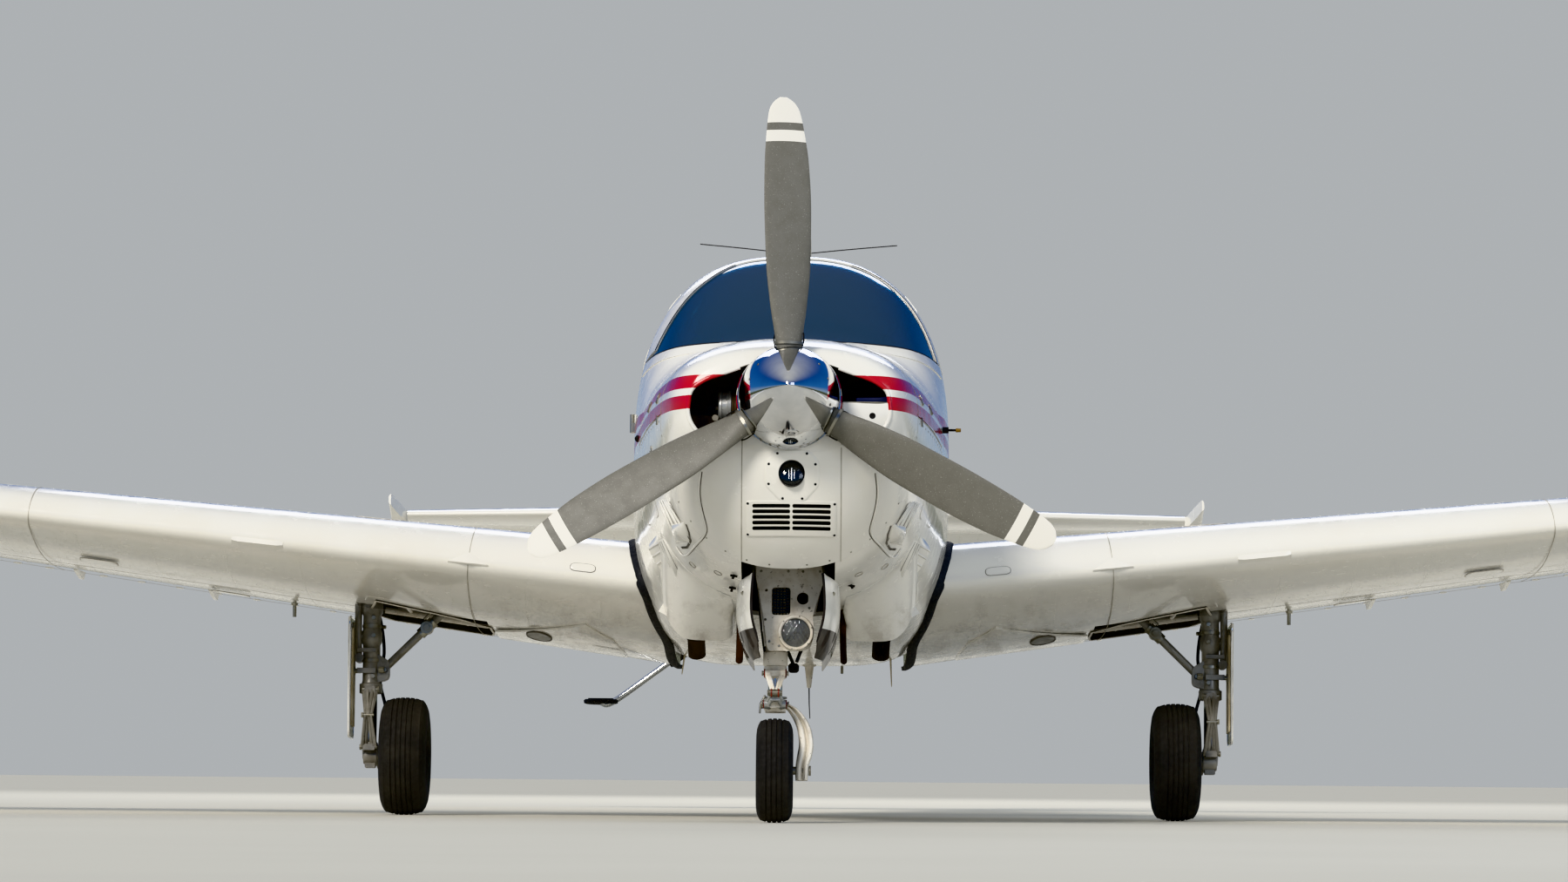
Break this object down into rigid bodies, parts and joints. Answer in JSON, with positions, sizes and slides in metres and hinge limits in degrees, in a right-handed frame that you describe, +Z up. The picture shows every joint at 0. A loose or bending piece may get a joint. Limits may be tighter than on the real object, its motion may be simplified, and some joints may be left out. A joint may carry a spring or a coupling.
{
  "type": "light aircraft",
  "caption": "Low-wing single-engine light aircraft on retractable tricycle gear, with turning propeller and wheels, opening doors and moving control surfaces.",
  "frame": {"origin": "on the ground below the middle of the aircraft's length and span", "axes": "+Z up, -Y towards the nose, +X towards the aircraft's left wing tip"},
  "size_m": [10.164, 8.1288, 2.5413],
  "materials": {
    "nose_bowl": "gloss white enamel",
    "cowl_spine": "gloss white enamel",
    "lower_cowl": "gloss white enamel",
    "engine_block": "matte dark metal",
    "fuselage_tub": "gloss white enamel",
    "cabin_floor": "carpet",
    "cabin_roof": "gloss white enamel",
    "windshield": "tinted acrylic, clear and smooth",
    "window_left_front": "tinted acrylic, clear and smooth",
    "window_right_middle": "tinted acrylic, clear and smooth",
    "window_left_middle": "tinted acrylic, clear and smooth",
    "window_right_rear": "tinted acrylic, clear and smooth",
    "window_left_rear": "tinted acrylic, clear and smooth",
    "instrument_panel": "matte",
    "front_seat_left": "leather",
    "front_seat_right": "leather",
    "rear_seat": "leather",
    "tail_cone": "gloss white enamel",
    "wing_right": "gloss white enamel",
    "flap_right": "gloss white enamel",
    "aileron_right": "gloss white enamel",
    "wing_left": "gloss white enamel",
    "flap_left": "gloss white enamel",
    "aileron_left": "gloss white enamel",
    "elevator_right": "gloss white enamel",
    "stabilizer_right": "gloss white enamel",
    "elevator_left": "gloss white enamel",
    "stabilizer_left": "gloss white enamel",
    "fin": "gloss white enamel",
    "rudder": "gloss white enamel",
    "spinner": "mirror polished",
    "propeller_blade_1": "matte grey paint",
    "propeller_blade_2": "matte grey paint",
    "propeller_blade_3": "matte grey paint",
    "main_leg_right": "satin painted metal",
    "main_brace_right": "satin painted metal",
    "gear_door_right": "gloss white enamel",
    "main_right_tyre": "black rubber",
    "main_right_wheel": "satin painted metal",
    "main_leg_left": "satin painted metal",
    "main_brace_left": "satin painted metal",
    "gear_door_left": "gloss white enamel",
    "main_left_tyre": "black rubber",
    "main_left_wheel": "satin painted metal",
    "nose_leg": "satin painted metal",
    "nose_fork": "satin painted metal",
    "nose_torque_link": "satin painted metal",
    "nose_tyre": "black rubber",
    "nose_wheel": "satin painted metal",
    "nose_door_right": "gloss white enamel",
    "nose_door_left": "gloss white enamel",
    "exhaust_right": "heat-stained steel",
    "exhaust_left": "heat-stained steel",
    "boarding_step": "satin painted metal",
    "cabin_door": "gloss white enamel",
    "window_right_front": "tinted acrylic, clear and smooth",
    "baggage_door": "gloss white enamel",
    "cowl_door_right": "gloss white enamel",
    "cowl_door_left": "gloss white enamel"
  },
  "bodies": {
    "airframe": {"nose_bowl": "nose_bowl", "cowl_spine": "cowl_spine", "lower_cowl": "lower_cowl", "engine_block": "engine_block", "fuselage_tub": "fuselage_tub", "cabin_floor": "cabin_floor", "cabin_roof": "cabin_roof", "windshield": "windshield", "window_left_front": "window_left_front", "window_right_middle": "window_right_middle", "window_left_middle": "window_left_middle", "window_right_rear": "window_right_rear", "window_left_rear": "window_left_rear", "instrument_panel": "instrument_panel", "front_seat_left": "front_seat_left", "front_seat_right": "front_seat_right", "rear_seat": "rear_seat", "tail_cone": "tail_cone", "wing_right": "wing_right", "wing_left": "wing_left", "stabilizer_right": "stabilizer_right", "stabilizer_left": "stabilizer_left", "fin": "fin", "main_leg_right": "main_leg_right", "main_brace_right": "main_brace_right", "gear_door_right": "gear_door_right", "main_leg_left": "main_leg_left", "main_brace_left": "main_brace_left", "gear_door_left": "gear_door_left", "nose_leg": "nose_leg", "nose_door_right": "nose_door_right", "nose_door_left": "nose_door_left", "exhaust_right": "exhaust_right", "exhaust_left": "exhaust_left", "boarding_step": "boarding_step"},
    "propeller": {"spinner": "spinner", "propeller_blade_1": "propeller_blade_1", "propeller_blade_2": "propeller_blade_2", "propeller_blade_3": "propeller_blade_3"},
    "nose_fork": {"nose_fork": "nose_fork", "nose_torque_link": "nose_torque_link"},
    "nose_wheel": {"nose_tyre": "nose_tyre", "nose_wheel": "nose_wheel"},
    "main_wheel_left": {"main_left_tyre": "main_left_tyre", "main_left_wheel": "main_left_wheel"},
    "main_wheel_right": {"main_right_tyre": "main_right_tyre", "main_right_wheel": "main_right_wheel"},
    "cabin_door": {"cabin_door": "cabin_door", "window_right_front": "window_right_front"},
    "baggage_door": {"baggage_door": "baggage_door"},
    "cowl_door_left": {"cowl_door_left": "cowl_door_left"},
    "cowl_door_right": {"cowl_door_right": "cowl_door_right"},
    "aileron_left": {"aileron_left": "aileron_left"},
    "aileron_right": {"aileron_right": "aileron_right"},
    "flap_left": {"flap_left": "flap_left"},
    "flap_right": {"flap_right": "flap_right"},
    "elevator": {"elevator_left": "elevator_left", "elevator_right": "elevator_right"},
    "rudder": {"rudder": "rudder"}
  },
  "joints": [
    {"name": "propeller_spin", "type": "hinge", "parent": "airframe", "child": "propeller", "pos_m": [0, -3.73485, 1.419], "axis": [0, 0.9986, -0.0523], "continuous": true},
    {"name": "nose_steering", "type": "hinge", "parent": "airframe", "child": "nose_fork", "pos_m": [-0.042, -3.15082, 0.17915], "axis": [0, 0.0523, 0.9986], "range_deg": [-20, 20]},
    {"name": "nose_wheel_spin", "type": "hinge", "parent": "nose_fork", "child": "nose_wheel", "pos_m": [-0.042, -3.12885, 0.178], "axis": [1, 0, 0], "continuous": true},
    {"name": "main_wheel_left_spin", "type": "hinge", "parent": "airframe", "child": "main_wheel_left", "pos_m": [1.46, -0.99485, 0.222], "axis": [1, 0, 0], "continuous": true},
    {"name": "main_wheel_right_spin", "type": "hinge", "parent": "airframe", "child": "main_wheel_right", "pos_m": [-1.46, -0.99485, 0.222], "axis": [1, 0, 0], "continuous": true},
    {"name": "cabin_door_hinge", "type": "hinge", "parent": "airframe", "child": "cabin_door", "pos_m": [-0.585, -1.75557, 1.31527], "axis": [0, 0.0523, 0.9986], "range_deg": [0, 85]},
    {"name": "baggage_door_hinge", "type": "hinge", "parent": "airframe", "child": "baggage_door", "pos_m": [-0.508, 0.3066, 1.2072], "axis": [0, 0.0523, 0.9986], "range_deg": [0, 90]},
    {"name": "cowl_door_left_hinge", "type": "hinge", "parent": "airframe", "child": "cowl_door_left", "pos_m": [0.052, -3.39343, 1.62833], "axis": [0, -0.9977, -0.0684], "range_deg": [0, 80]},
    {"name": "cowl_door_right_hinge", "type": "hinge", "parent": "airframe", "child": "cowl_door_right", "pos_m": [-0.052, -3.39343, 1.62833], "axis": [0, 0.9977, 0.0684], "range_deg": [0, 80]},
    {"name": "aileron_left_hinge", "type": "hinge", "parent": "airframe", "child": "aileron_left", "pos_m": [2.8334, -0.50733, 0.99233], "axis": [-0.9865, 0.0983, -0.1313], "range_deg": [-20, 20]},
    {"name": "aileron_right_hinge", "type": "hinge", "parent": "airframe", "child": "aileron_right", "pos_m": [-2.8334, -0.50733, 0.99233], "axis": [-0.9865, -0.0983, 0.1313], "range_deg": [-20, 20]},
    {"name": "flap_left_hinge", "type": "hinge", "parent": "airframe", "child": "flap_left", "pos_m": [0.65057, -0.28973, 0.70183], "axis": [-0.9865, 0.0983, -0.1313], "range_deg": [0, 30]},
    {"name": "flap_right_hinge", "type": "hinge", "parent": "airframe", "child": "flap_right", "pos_m": [-0.65057, -0.28973, 0.70183], "axis": [-0.9865, -0.0983, 0.1313], "range_deg": [0, 30]},
    {"name": "elevator_hinge", "type": "hinge", "parent": "airframe", "child": "elevator", "pos_m": [0, 3.469, 1.30382], "axis": [1, 0, 0], "range_deg": [0, 40]},
    {"name": "rudder_hinge", "type": "hinge", "parent": "airframe", "child": "rudder", "pos_m": [0, 3.50908, 1.39986], "axis": [0, 0.2218, 0.9751], "range_deg": [-25, 25]}
  ],
  "couplings": [
    {"joint": "aileron_right_hinge", "follows": "aileron_left_hinge", "ratio": -1},
    {"joint": "flap_right_hinge", "follows": "flap_left_hinge", "ratio": 1}
  ]
}
